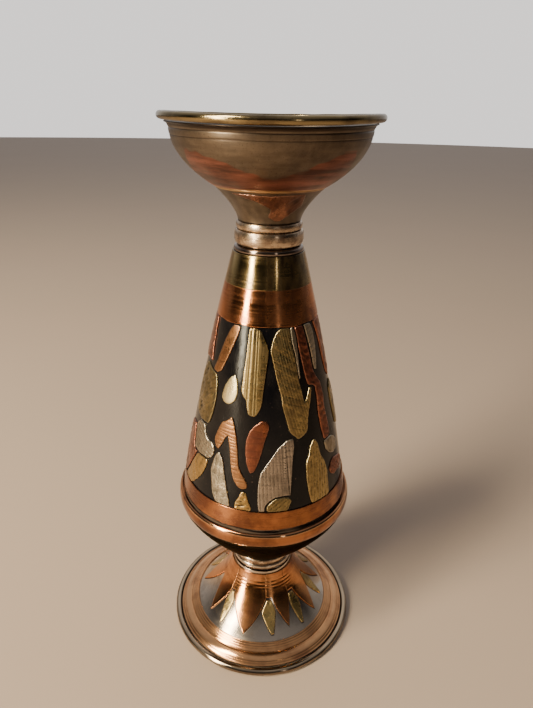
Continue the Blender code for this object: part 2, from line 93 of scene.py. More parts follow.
GROUND = -0.4                   # the sheet under the applied shapes lies this far inside the profile
TOP = 0.2                       # applied metal stands this far outside the profile
BURIED = GROUND - 0.08          # and its underside lies this deep
CONE_LOW, CONE_HIGH = low_z("cone_shell"), high_z("cone_shell")
BOWL_LOW, BOWL_HIGH = low_z("lower_bowl"), high_z("lower_bowl")
STEM_LOW, STEM_HIGH = low_z("cup_stem"), 224.6
CUP_LOW, CUP_HIGH = 224.9, 246.8
FOOT_CENTRE_R, FOOT_REACH = 48.0, 32.5      # the foot's hollow curve is part of a squared-off circle
FOOT_TOP, FOOT_DROP, FOOT_POWER = 36.0, 34.0, 1.5
ROD_R = 3.4                     # holes for the rod that holds everything together


def tapered(start_z, end_z, start_r, end_r, power):
    """A turned profile: its radius changes slowly near start_z and, for a power above 1, faster later."""
    def profile(z):
        share = np.clip((z - start_z) / (end_z - start_z), 0, None)
        return start_r + (end_r - start_r) * share ** power, z
    return profile


cone_profile = tapered(CONE_LOW, CONE_HIGH, 39.9, 14.9, 1.23)
bowl_profile = tapered(BOWL_HIGH, BOWL_LOW, 41.1, 14.4, 1.25)
stem_profile = tapered(STEM_LOW, STEM_HIGH, 12.8, 22.3, 1.5)
cup_profile = tapered(CUP_HIGH, CUP_LOW, 38.9, 22.8, 2.2)


def foot_profile(r):
    across = np.clip(abs(FOOT_CENTRE_R - r) / FOOT_REACH, 0, 1) ** FOOT_POWER
    return r, FOOT_TOP - FOOT_DROP * (1.0 - across) ** (1 / FOOT_POWER)


def lifted(profile, place, lift):
    """Points of a profile moved out along its normal.  Works on arrays."""
    place = np.asarray(place, float)
    r, z = profile(place)
    r0, z0 = profile(place - 0.05)
    r1, z1 = profile(place + 0.05)
    run, rise = r1 - r0, z1 - z0
    if profile is foot_profile:
        run, rise = -run, -rise
    length = np.hypot(run, rise)
    return r + lift * rise / length, z - lift * run / length


def wrapped(profile, angle, place, lift):
    """Metres, for arrays of angles in degrees, places and lifts."""
    r, z = lifted(profile, place, lift)
    turn = np.radians(angle)
    return np.stack([r * np.sin(turn), -r * np.cos(turn), z], -1) * MM


# ---------------------------------------------------------------- smooth noise, repeatable

def noise_field(seed, waves=5):
    """A smooth function of (angle, place) that closes round the object."""
    rng = np.random.default_rng(seed)
    turns = rng.integers(1, 9, waves)
    rates = rng.uniform(-0.35, 0.35, waves)
    phases = rng.uniform(0, tau, waves)
    weights = rng.uniform(0.4, 1.0, waves)

    def field(angle, place):
        total = sum(w * np.sin(t * np.radians(angle) + k * place + p)
                    for t, k, p, w in zip(turns, rates, phases, weights))
        return total / weights.sum()
    return field


# ---------------------------------------------------------------- meshes

def finish_mesh(name, verts, groups, attributes, node, material, sharp=35):
    """Mesh object from points in metres and groups of faces of one size each, facing outward."""
    volume = 0.0
    for faces in groups:
        p, q = verts[faces[:, 0]], verts[faces[:, 1:-1]]
        volume += np.einsum("ik,ijk->", p, np.cross(q, verts[faces[:, 2:]]))
    if volume < 0:
        groups = [faces[:, ::-1] for faces in groups]
    mesh = bpy.data.meshes.new(name)
    mesh.vertices.add(len(verts))
    mesh.vertices.foreach_set("co", np.ascontiguousarray(verts, np.float32).ravel())
    sizes = np.concatenate([np.full(len(faces), faces.shape[1]) for faces in groups])
    corners = np.concatenate([faces.ravel() for faces in groups])
    mesh.loops.add(len(corners))
    mesh.loops.foreach_set("vertex_index", corners.astype(np.int32))
    mesh.polygons.add(len(sizes))
    starts = np.concatenate([[0], np.cumsum(sizes)[:-1]])
    mesh.polygons.foreach_set("loop_start", starts.astype(np.int32))
    for key, values in attributes.items():
        layer = mesh.attributes.new(key, "FLOAT", "POINT")
        layer.data.foreach_set("value", np.asarray(values, np.float32).ravel())
    mesh.update(calc_edges=True)
    mesh.validate()
    mesh.shade_smooth()
    mesh.set_sharp_from_angle(angle=radians(sharp))
    mesh.materials.append(material)
    piece = bpy.data.objects.new(name, mesh)
    bpy.context.scene.collection.objects.link(piece)
    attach(piece, "root")
    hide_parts(node)
    return piece


def filleted(section, rounding):
    """Closed or open section with each corner rounded."""
    points = [np.array(p, float) for p in section]
    count = len(points)
    closed = section[0][0] > 0 or section[-1][0] > 0
    result = []
    for i, corner in enumerate(points):
        if not closed and i in (0, count - 1):
            result.append(corner)
            continue
        before, after = points[i - 1] - corner, points[(i + 1) % count] - corner
        reach = min(rounding, 0.45 * np.linalg.norm(before), 0.45 * np.linalg.norm(after))
        start = corner + before / np.linalg.norm(before) * reach
        end = corner + after / np.linalg.norm(after) * reach
        for t in (0, 0.25, 0.5, 0.75, 1):
            result.append((1 - t) ** 2 * start + 2 * t * (1 - t) * corner + t ** 2 * end)
    return result, closed


def divided(points, closed, step):
    """The same line with no stretch longer than step."""
    result = []
    count = len(points)
    for i in range(count if closed else count - 1):
        here, there = points[i], points[(i + 1) % count]
        pieces = max(int(np.ceil(np.linalg.norm(there - here) / step)), 1)
        result += [here + (there - here) * k / pieces for k in range(pieces)]
    if not closed:
        result.append(points[-1])
    return np.array(result)


def turned(name, section, material, node, segments=256, rounding=0.4, step=1.2, wobble=None,
           dirt_and_shade=None, **fields):
    """A turned piece.  wobble(angle, r, z) returns how far a point moves (radially, up), in mm.
    The dirt field, which on some pieces also holds painted shade, and the other fields are functions of
    (angle, r, z) kept on the surface for its material."""
    points, closed = filleted(section, rounding)
    line = divided(points, closed, step)
    angles = np.arange(segments) * 360.0 / segments
    a, r = np.meshgrid(angles, line[:, 0], indexing="ij")
    z = np.broadcast_to(line[:, 1], r.shape)
    values = {"dirt_and_shade": dirt_and_shade(a, r, z) if dirt_and_shade else np.zeros_like(r)}
    values.update({key: field(a, r, z) for key, field in fields.items()})
    if wobble:
        out, up = wobble(a, r, z)
        r, z = np.where(r > 0, r + out, 0.0), z + up
    turn = np.radians(a)
    verts = np.stack([r * np.sin(turn), -r * np.cos(turn), z], -1).reshape(-1, 3) * MM
    n = len(line)
    here = np.arange(segments)[:, None] * n
    there = (np.arange(segments)[:, None] + 1) % segments * n
    k = np.arange(n if closed else n - 1)[None, :]
    k1 = (k + 1) % n
    quads = np.stack([here + k, there + k, there + k1, here + k1], -1)
    groups = [quads.reshape(-1, 4)]
    if not closed:
        first, last = quads[:, 0], quads[:, -1]
        first, last = first[:, [0, 2, 3]].copy(), last[:, [0, 1, 2]].copy()
        first[:, 0], last[:, 2] = 0, n - 1
        groups = [quads[:, 1:-1].reshape(-1, 4), np.vstack([first, last])]
        used = np.unique(np.concatenate([g.ravel() for g in groups]))
        renumber = np.zeros(len(verts), int)
        renumber[used] = np.arange(len(used))
        verts, groups = verts[used], [renumber[g] for g in groups]
        values = {key: np.asarray(v).ravel()[used] for key, v in values.items()}
    return finish_mesh(name, verts, groups, values, node, material)


def sheet_section(profile, places, lift, thickness):
    outer = [lifted(profile, p, lift) for p in places]
    inner = [lifted(profile, p, lift - thickness) for p in reversed(places)]
    return outer + inner


def bulge(widest, low, high, power, above, below):
    """Round side of a ring, top to bottom, drawn in by above and below at its two ends."""
    middle, half = (low + high) / 2, (high - low) / 2
    return [(widest - (above if t > 0 else below) * (1 - cos(t) ** power), middle + half * sin(t))
            for t in np.linspace(pi / 2 - 0.001, 0.001 - pi / 2, 21)]


def wire(centre_r, centre_z, thick_r):
    return [(centre_r + thick_r * sin(t), centre_z + thick_r * cos(t))
            for t in np.linspace(0, tau, 28, endpoint=False)]


def spaced(first, last, count):
    return list(np.linspace(first, last, count))


# ---------------------------------------------------------------- cut sheet shapes

SLOPE = 1.25                    # length along the foot for each millimetre of radius, where the petals lie
ROUNDING_STEPS = (0.16, 0.36)   # distances from a cut edge of the extra rows of points that round it
ROLLED = 0.35                   # width of the rounded edge
EDGE_DROP = 0.22                # how far the edge falls over that width


def node_outline(node, profile):
    """Outline of a CAD sheet as (angle, place), read from the rim of its outer face."""
    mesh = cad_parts[node].data
    keys, ids, points = {}, [], []
    for vert in mesh.vertices:
        key = tuple(round(c * 1e6 / 4) for c in vert.co)
        if key not in keys:
            keys[key] = len(points)
            points.append(np.array(vert.co) / MM)
        ids.append(keys[key])
    points = np.array(points)
    r = np.hypot(points[:, 0], points[:, 1])
    angle = np.degrees(np.arctan2(points[:, 0], -points[:, 1]))
    place = r if profile is foot_profile else points[:, 2]
    if np.ptp(angle) > 180:
        angle = np.where(angle < 0, angle + 360, angle)
    base_r, base_z = profile(place)
    if profile is foot_profile:
        outside = points[:, 2] - base_z > 0.1
    else:
        outside = r - base_r > 0.1
    links = {}
    for face in mesh.polygons:
        corners = [ids[v] for v in face.vertices]
        if all(outside[c] for c in corners):
            for here, there in zip(corners, corners[1:] + corners[:1]):
                links[(here, there)] = True
    rim = {here: there for here, there in links if (there, here) not in links}
    start = next(iter(rim))
    loop, here = [start], rim[start]
    while here != start and len(loop) < 2000:
        loop.append(here)
        here = rim[here]
    return np.stack([angle[loop], place[loop]], -1)


def resampled(loop, spacing, soft):
    """Closed line with its corners softened and points at an even spacing."""
    for reach in soft:
        ahead = np.roll(loop, -1, 0)
        lengths = np.linalg.norm(ahead - loop, axis=1)[:, None]
        cut = np.minimum(0.25, reach / np.maximum(lengths, 1e-6))
        loop = np.stack([loop + (ahead - loop) * cut, ahead - (ahead - loop) * cut], 1).reshape(-1, 2)
    closed = np.vstack([loop, loop[:1]])
    travel = np.concatenate([[0], np.cumsum(np.linalg.norm(np.diff(closed, axis=0), axis=1))])
    count = max(int(travel[-1] / spacing), 12)
    at = np.linspace(0, travel[-1], count, endpoint=False)
    return np.stack([np.interp(at, travel, closed[:, 0]), np.interp(at, travel, closed[:, 1])], -1)


def edge_distance(points, loop):
    """Distance of each point from a closed line."""
    start, end = loop, np.roll(loop, -1, 0)
    along = end - start
    rel = points[:, None, :] - start[None]
    t = unit((rel * along).sum(-1) / np.maximum((along ** 2).sum(-1), 1e-9))
    return np.linalg.norm(rel - t[..., None] * along, axis=-1).min(1)


def inside(points, loop):
    x, y = points[:, 0][:, None], points[:, 1][:, None]
    x0, y0 = loop[:, 0], loop[:, 1]
    x1, y1 = np.roll(x0, -1), np.roll(y0, -1)
    crosses = (y0 > y) != (y1 > y)
    where = x0 + (y - y0) / np.where(y1 == y0, 1e-9, y1 - y0) * (x1 - x0)
    return (crosses & (x < where)).sum(1) % 2 == 1


def wound(points, faces, sign):
    """The same triangles, all wound anticlockwise for a sign of 1 and clockwise for -1."""
    first, second, third = (points[faces[:, k]] for k in range(3))
    wrong = sign * np.cross(second - first, third - first) < 0
    faces[wrong] = faces[wrong][:, ::-1]
    return faces


def applied(node, profile, material, relief, spacing, top=TOP, soft=(0.7, 0.3)):
    """A cut shape of thin sheet lying on a turned surface, with worn round edges and a worked face."""
    outline = node_outline(node, profile)
    middle = outline.mean(0)
    mid_r = float(profile(middle[1])[0]) if profile is not foot_profile else middle[1]
    scale = np.array([radians(1) * mid_r, SLOPE if profile is foot_profile else 1.0])
    loop = resampled((outline - middle) * scale, spacing, soft)
    rng = np.random.default_rng(len(node) + int(abs(middle[0]) * 10))
    loop += rng.normal(0, 0.035, loop.shape)
    inset = [loop]
    for depth in ROUNDING_STEPS:
        ahead, behind = np.roll(loop, -1, 0), np.roll(loop, 1, 0)
        along = ahead - behind
        normal = np.stack([-along[:, 1], along[:, 0]], -1) / np.linalg.norm(along, axis=1)[:, None]
        area = (loop[:, 0] * ahead[:, 1] - ahead[:, 0] * loop[:, 1]).sum()
        moved = loop + normal * depth * np.sign(area)
        keep = edge_distance(moved, loop) > depth * 0.9
        inset.append(moved[keep & inside(moved, loop)])
    low, high = loop.min(0), loop.max(0)
    xs = np.arange(low[0], high[0], spacing)
    ys = np.arange(low[1], high[1], spacing * 0.866)
    grid = np.stack(np.meshgrid(xs, ys), -1)
    grid[1::2, :, 0] += spacing / 2
    grid = grid.reshape(-1, 2)
    grid = grid[inside(grid, loop)]
    grid = grid[edge_distance(grid, loop) > ROUNDING_STEPS[-1] + spacing * 0.45]
    points = np.vstack(inset + [grid])
    count = len(loop)
    edges = [(i, (i + 1) % count) for i in range(count)]
    out = delaunay_2d_cdt([Vector(p) for p in points], edges, [list(range(count))], 1, 1e-6)
    flat = np.array([tuple(v) for v in out[0]])
    depth = edge_distance(flat, loop)
    roll = unit(depth / ROLLED)
    height = top - EDGE_DROP * (1 - np.sqrt(1 - (1 - roll) ** 2))
    bumps = relief(flat[:, 0], flat[:, 1], depth) * unit(depth / 0.5)
    where = flat / scale + middle
    upper = wrapped(profile, where[:, 0], where[:, 1], height + bumps)
    base = len(upper)
    under = loop / scale + middle
    lower = wrapped(profile, under[:, 0], under[:, 1], np.full(count, BURIED))
    below = delaunay_2d_cdt([Vector(p) for p in loop], edges, [list(range(count))], 1, 1e-6)
    verts = np.vstack([upper, lower])
    if len(out[3]) and any(len(src) != 1 for src in out[3][:count]):
        raise ValueError(node + ": the outline crosses itself")
    here = np.arange(count)
    there = (here + 1) % count
    top_faces = wound(flat, np.array([list(f) for f in out[2]]), 1)
    anticlockwise = (loop[:, 0] * loop[there, 1] - loop[there, 0] * loop[:, 1]).sum() > 0
    wall = np.stack([here, base + here, base + there, there], -1)
    if not anticlockwise:
        wall = wall[:, ::-1]
    bottom = wound(loop, np.array([list(f) for f in below[2]]), -1)
    attributes = {
        "edge": np.concatenate([1 - unit(depth / 0.6), np.ones(count)]),
        "dirt_and_shade": np.concatenate([unit(0.40 - 3.2 * bumps), np.ones(count)]),
    }
    groups = [np.vstack([top_faces, bottom + base]), wall]
    return finish_mesh(node + "_sheet", verts, groups, attributes, node, material, sharp=60)


# ---------------------------------------------------------------- materials

class Nodes:
    """Short hand for building the node tree of a material or of the world."""

    def __init__(self, owner, shader="Principled BSDF"):
        owner.use_nodes = True
        self.owner, self.tree = owner, owner.node_tree
        self.shader = self.tree.nodes[shader]

    def add(self, kind, inputs=(), **settings):
        node = self.tree.nodes.new(kind)
        for key, value in settings.items():
            setattr(node, key, value)
        for key, value in dict(inputs).items():
            self.feed(node.inputs[key], value)
        return node

    def feed(self, socket, value):
        if isinstance(value, bpy.types.NodeSocket):
            self.tree.links.new(value, socket)
        elif isinstance(value, tuple) and len(value) == 3 and socket.type == "RGBA":
            socket.default_value = (*value, 1.0)
        else:
            socket.default_value = value

    def put(self, key, value):
        """Feed one input of the shader."""
        self.feed(self.shader.inputs[key], value)

    def object_space(self):
        return self.add("ShaderNodeTexCoord").outputs["Object"]

    def noise(self, scale, stretch=(1, 1, 1), detail=4.0, roughness=0.55, shift=0.0):
        mapping = self.add("ShaderNodeMapping", {"Vector": self.object_space(), "Scale": stretch,
                                                 "Location": (shift, shift * 0.7, shift * 1.3)})
        node = self.add("ShaderNodeTexNoise", {"Vector": mapping.outputs[0], "Scale": scale,
                                               "Detail": detail, "Roughness": roughness})
        return node.outputs["Fac"]

    def turning_lines(self, shift):
        """Fine lines that run round the piece, on flat and on upright faces alike."""
        parts = self.add("ShaderNodeSeparateXYZ", {"Vector": self.object_space()}).outputs
        squares = self.plus(self.times(parts[0], parts[0]), self.times(parts[1], parts[1]))
        across = self.times(self.math("SQRT", squares), 1500.0)
        up = self.times(parts[2], 1500.0)
        side = self.plus(self.times(parts[0], 30.0), shift)
        place = self.add("ShaderNodeCombineXYZ", {"X": self.plus(across, up), "Y": side,
                                                  "Z": self.times(parts[1], 30.0)}).outputs[0]
        return self.add("ShaderNodeTexNoise", {"Vector": place, "Scale": 1.0, "Detail": 3.0,
                                               "Roughness": 0.6}).outputs["Fac"]

    def attribute(self, name):
        return self.add("ShaderNodeAttribute", attribute_name=name).outputs["Fac"]

    def math(self, operation, a, b=0.0, clamp=False):
        node = self.add("ShaderNodeMath", operation=operation, use_clamp=clamp)
        self.feed(node.inputs[0], a)
        self.feed(node.inputs[1], b)
        return node.outputs[0]

    def times(self, a, b, clamp=False):
        return self.math("MULTIPLY", a, b, clamp)

    def plus(self, a, b, clamp=False):
        return self.math("ADD", a, b, clamp)

    def ramp(self, value, low, high, start=0.0, end=1.0):
        node = self.add("ShaderNodeMapRange", {"Value": value, "From Min": low, "From Max": high,
                                               "To Min": start, "To Max": end}, clamp=True)
        return node.outputs[0]

    def mix(self, factor, a, b):
        node = self.add("ShaderNodeMix", data_type="RGBA")
        self.feed(node.inputs["Factor"], factor)
        self.feed(node.inputs[6], a)
        self.feed(node.inputs[7], b)
        return node.outputs[2]

    def bump(self, height, strength, distance=0.0002):
        return self.add("ShaderNodeBump", {"Height": height, "Strength": strength,
                                           "Distance": distance}).outputs[0]


SPUN = "spun"                   # fine lines that run round the piece
DRAWN = (1100, 1100, 55)        # fine lines that run up the piece: how often they change along X, Y and Z
PLAIN = (420, 420, 420)         # grains with no direction


def worn_metal(name, colour, tarnish, bright=None, rough=(0.17, 0.38), cover=0.5, grain=PLAIN, seed=0,
               patch_scale=70, spin=0.0, bump=0.25, rim_tint=(1, 1, 1)):
    """Aged metal: mottled tarnish, fine lines, specks, dirt in the hollows and rubbed edges, with painted
    shade from the dirt field and painted highlights from the edge field on some pieces.
    """
    n = Nodes(bpy.data.materials.new(name))
    bright = bright or tuple(min(c * 1.25 + 0.06, 1.0) for c in colour)
    clouds = n.noise(patch_scale, detail=5, roughness=0.62, shift=seed)
    if grain == SPUN:
        lines = n.turning_lines(seed)
    else:
        lines = n.noise(1.0, stretch=grain, detail=3, roughness=0.6, shift=seed + 2)
    specks = n.noise(1900, detail=2, roughness=0.5, shift=seed + 4)
    dirt_and_shade = n.attribute("dirt_and_shade")
    edge = n.attribute("edge")
    patchy = n.ramp(clouds, 0.62 - 0.3 * cover, 0.82 - 0.3 * cover)
    lined = n.ramp(lines, 0.35, 0.7, 0.0, 0.6 if grain == DRAWN else 0.35)
    tarnished = n.plus(patchy, lined, clamp=True)
    base = n.mix(n.times(tarnished, 0.85), colour, tarnish)
    spotted = n.ramp(specks, 0.66, 0.78, 0.0, 0.7)
    base = n.mix(spotted, base, tuple(0.5 * c for c in tarnish))
    # Light where the edge field says: worn edges, and on some pieces painted highlight lines.
    rubbed_and_highlit = n.times(edge, n.ramp(lines, 0.3, 0.6), clamp=True)
    base = n.mix(n.times(rubbed_and_highlit, 0.75), base, bright)
    # Dark where the dirt field says: dirt in the hollows, and on some pieces painted shade.
    grime_and_shade = n.times(n.ramp(dirt_and_shade, 0.35, 0.95), n.ramp(specks, 0.2, 0.5, 0.75, 1.0), clamp=True)
    base = n.mix(grime_and_shade, base, (0.030, 0.022, 0.017))
    n.put("Base Color", base)
    n.put("Metallic", 1.0)
    n.put("Specular Tint", rim_tint)
    n.put("Anisotropic", spin)
    n.put("Anisotropic Rotation", 0.25)
    wear = n.plus(n.ramp(clouds, 0.3, 0.7, rough[0], rough[1]), n.ramp(lines, 0.3, 0.7, -0.05, 0.08))
    wear = n.plus(wear, n.times(grime_and_shade, 0.25))
    n.put("Roughness", n.plus(wear, n.times(rubbed_and_highlit, -0.06), clamp=True))
    height = n.plus(n.times(lines, 0.6), n.times(specks, 0.35))
    height = n.plus(height, n.times(clouds, 1.2))
    n.put("Normal", n.bump(height, bump, 0.00012))
    return n.owner


def lacquer(name):
    """Glossy black ground, a little hazy, with dust, fine scratches and small chips."""
    n = Nodes(bpy.data.materials.new(name))
    haze = n.noise(120, detail=5, shift=3)
    scratch = n.noise(1.0, stretch=(1400, 1400, 60), detail=2, shift=5)
    chips = n.noise(900, detail=3, shift=9)
    base = n.mix(n.ramp(haze, 0.4, 0.75), (0.002, 0.002, 0.003), (0.007, 0.006, 0.006))
    base = n.mix(n.ramp(chips, 0.70, 0.76, 0.0, 0.6), base, (0.10, 0.06, 0.045))
    streak = n.noise(1.0, stretch=(60, 60, 900), detail=4, shift=12)
    base = n.mix(n.times(n.attribute("worn"), n.ramp(streak, 0.42, 0.62)), base, (0.11, 0.075, 0.055))
    n.put("Base Color", base)
    n.put("Roughness", n.plus(n.ramp(haze, 0.3, 0.7, 0.11, 0.21),
                                                n.ramp(scratch, 0.5, 0.75, 0.0, 0.12)))
    n.put("Normal", n.bump(n.plus(haze, n.times(scratch, 0.3)), 0.2))
    n.put("Specular IOR Level", 0.22)
    return n.owner


def cup_patina(name, red):
    """Brown patina over brass, with rubbed copper-red fields where the piece says so."""
    n = Nodes(bpy.data.materials.new(name))
    clouds = n.noise(75, detail=6, roughness=0.65, shift=1)
    streaks = n.noise(1.0, stretch=(45, 45, 420), detail=6, shift=6)
    specks = n.noise(1700, detail=2, shift=8)
    khaki = n.mix(n.ramp(clouds, 0.35, 0.68), (0.165, 0.126, 0.090), (0.072, 0.053, 0.041))
    khaki = n.mix(n.ramp(streaks, 0.45, 0.75, 0.0, 0.6), khaki, (0.055, 0.038, 0.028))
    reds = n.mix(n.ramp(streaks, 0.36, 0.62), red, tuple(0.26 * c for c in red))
    field = n.plus(n.attribute("copper"), n.ramp(streaks, 0.35, 0.65, 0.2, -0.2))
    base = n.mix(n.ramp(field, 0.42, 0.72, 0.0, 0.9), khaki, reds)
    base = n.mix(n.ramp(specks, 0.62, 0.74, 0.0, 0.7), base, (0.05, 0.034, 0.025))
    # Darker where the dirt field says: dirt in the cut lines, and on the bowl painted shade under the rim.
    base = n.mix(n.ramp(n.attribute("dirt_and_shade"), 0.3, 0.9), base, (0.035, 0.024, 0.018))
    # Light copper where the edge field says: a painted highlight line along the cup's ledge, with wear.
    base = n.mix(n.times(n.attribute("edge"), n.ramp(streaks, 0.3, 0.6), clamp=True), base,
                 (0.85, 0.50, 0.22))
    n.put("Base Color", base)
    n.put("Metallic", 0.9)
    n.put("Anisotropic", 0.4)
    n.put("Anisotropic Rotation", 0.25)
    n.put("Roughness", n.ramp(clouds, 0.3, 0.7, 0.30, 0.50))
    height = n.plus(n.times(streaks, 0.5), n.times(specks, 0.35))
    n.put("Normal", n.bump(height, 0.3, 0.00015))
    return n.owner


def spun(*looks, **options):
    """Metal turned or burnished on a lathe."""
    return worn_metal(*looks, grain=SPUN, spin=0.55, rough=(0.09, 0.22), **options)


def drawn(*looks, **options):
    return worn_metal(*looks, grain=DRAWN, **options)


brass_bright = spun("brass_rubbed", (0.60, 0.42, 0.17), (0.28, 0.18, 0.08), cover=0.4, seed=1)
brass_rim = spun("brass_rim", (0.31, 0.24, 0.125), (0.12, 0.088, 0.05), seed=26)
brass_neck = worn_metal("brass_neck", (0.66, 0.51, 0.36), (0.24, 0.155, 0.11), cover=0.6, seed=21,
                        patch_scale=230, grain=SPUN, spin=0.3, rough=(0.14, 0.32), bump=0.6)
brass_upper = spun("brass_upper_band", (0.56, 0.40, 0.17), (0.19, 0.13, 0.07), cover=0.55, seed=22)
brass_drawn = drawn("brass_drawn", (0.40, 0.30, 0.13), (0.19, 0.135, 0.065), cover=0.45, seed=2)
brass_olive = drawn("brass_olive", (0.31, 0.24, 0.11), (0.13, 0.10, 0.05), cover=0.55, seed=3)
brass_gold = worn_metal("brass_gold", (0.50, 0.33, 0.12), (0.24, 0.15, 0.065), cover=0.45, seed=4)
brass_petal = worn_metal("brass_petal", (0.58, 0.42, 0.17), (0.25, 0.17, 0.08), cover=0.45, seed=23)
copper_band = spun("copper_band", (0.76, 0.31, 0.13), (0.30, 0.095, 0.05), seed=5)
copper_base = spun("copper_base_band", (0.52, 0.21, 0.085), (0.17, 0.06, 0.036), cover=0.6, seed=24)
copper_red = drawn("copper_red", (0.35, 0.125, 0.068), (0.15, 0.052, 0.036), seed=6)
copper_gold = drawn("copper_gold", (0.40, 0.20, 0.09), (0.19, 0.085, 0.045), cover=0.45, seed=7)
copper_dull = drawn("copper_dull", (0.26, 0.12, 0.075), (0.11, 0.05, 0.036), seed=27)
copper_foot = spun("copper_foot", (0.70, 0.32, 0.13), (0.29, 0.11, 0.055), seed=20)
copper_skirt = spun("copper_skirt", (0.78, 0.41, 0.19), (0.36, 0.16, 0.08), seed=25)
nickel_pale = drawn("nickel_pale", (0.46, 0.40, 0.305), (0.20, 0.165, 0.12), cover=0.45, seed=8)
silver_cream = drawn("silver_cream", (0.60, 0.50, 0.27), (0.36, 0.28, 0.14), cover=0.3, seed=28)
nickel_grey = drawn("nickel_grey", (0.40, 0.345, 0.29), (0.18, 0.15, 0.12), seed=9)
nickel_spun = spun("nickel_spun", (0.64, 0.54, 0.44), (0.34, 0.27, 0.21), cover=0.4, seed=10)
dark_brass = worn_metal("dark_brass", (0.050, 0.037, 0.021), (0.026, 0.019, 0.013), seed=11,
                        patch_scale=90, grain=SPUN, spin=0.4, rough=(0.30, 0.42), rim_tint=(0.22, 0.17, 0.10))
# Its light edge colour paints a highlight along the top of the foot's rolled rim, with wear.
pewter_rim = spun("pewter_rim", (0.26, 0.20, 0.15), (0.09, 0.065, 0.05), seed=12,
                  bright=(0.70, 0.54, 0.36))
brass_cap = spun("brass_cap", (0.34, 0.26, 0.21), (0.12, 0.09, 0.08), cover=0.6, seed=29)
# Its light edge colour paints the highlight lines along the girdle ring's lip, with wear.
copper_ring = spun("copper_ring", (0.46, 0.19, 0.08), (0.14, 0.055, 0.032), cover=0.65, seed=30,
                   bright=(0.95, 0.62, 0.36))
steel = spun("plain_steel", (0.42, 0.42, 0.42), (0.22, 0.20, 0.18), cover=0.4, seed=13)
black = lacquer("black_lacquer")
patina = cup_patina("cup_patina", (0.29, 0.105, 0.072))
stem_patina = cup_patina("stem_patina", (0.22, 0.10, 0.06))


# ---------------------------------------------------------------- worked faces of the cut shapes
# Each returns a relief: how far the face stands out at u across and v up the shape, d from its cut edge.

def ribs(period, depth, slant=0.0):
    """Rounded ribs along the shape, leaning by slant degrees."""
    def relief(u, v, d):
        across = u * cos(radians(slant)) + v * sin(radians(slant))
        return depth * (np.abs(np.sin(pi * across / period)) ** 0.6 - 0.5)
    return relief


def crossed(period, depth, slant=0.0, seed=1):
    """Cuts across the shape at uneven spacing."""
    rng = np.random.default_rng(seed)
    count, jitter, lean_limit = 60, 0.35, 0.18
    cuts = np.cumsum(rng.uniform(1 - jitter, 1 + jitter, count) * period)
    cuts -= cuts.mean()
    leans = rng.uniform(-lean_limit, lean_limit, count)

    def relief(u, v, d):
        rise = v * cos(radians(slant)) - u * sin(radians(slant))
        total = np.zeros_like(u)
        for cut, lean in zip(cuts, leans):
            total -= bell(rise + lean * u, cut, 0.22)
        return depth * total
    return relief


def spotted(pitch, depth, size):
    """Punched dots."""
    rng = np.random.default_rng(2)

    def relief(u, v, d):
        total = np.zeros_like(u)
        for x in np.arange(u.min(), u.max(), pitch):
            for y in np.arange(v.min(), v.max(), pitch):
                cx, cy = x + rng.uniform(-0.4, 0.4) * pitch, y + rng.uniform(-0.4, 0.4) * pitch
                total -= np.exp(-((u - cx) ** 2 + (v - cy) ** 2) / size ** 2)
        return depth * np.clip(total, -1, 0)
    return relief


def beads(at, pitch, depth):
    """A row of small beads up the shape at one place across it."""
    def relief(u, v, d):
        along = (v + pitch / 2) % pitch - pitch / 2
        return depth * bell(u, at, 0.5) * bell(along, 0, 0.5)
    return relief


def groove(at, depth, slant=0.0):
    def relief(u, v, d):
        across = u * cos(radians(slant)) + v * sin(radians(slant))
        return -depth * bell(across, at, 0.22)
    return relief


def hammered(depth, size, seed):
    rng = np.random.default_rng(seed)
    field = [(rng.normal(0, 1 / size), rng.normal(0, 1 / size), rng.uniform(0, tau)) for _ in range(12)]

    def relief(u, v, d):
        return depth / 3.5 * sum(np.sin(tau * (a * u + b * v) / 2 + c) for a, b, c in field)
    return relief


def together(*reliefs):
    def relief(u, v, d):
        return sum(r(u, v, d) for r in reliefs)
    return relief


def pillow(depth, width):
    def relief(u, v, d):
        return depth * (np.sqrt(1 - (1 - unit(d / width)) ** 2) - 1)
    return relief


BRASS_PETALS = [f"foot_brass_petal_{i}" for i in range(1, 9)]


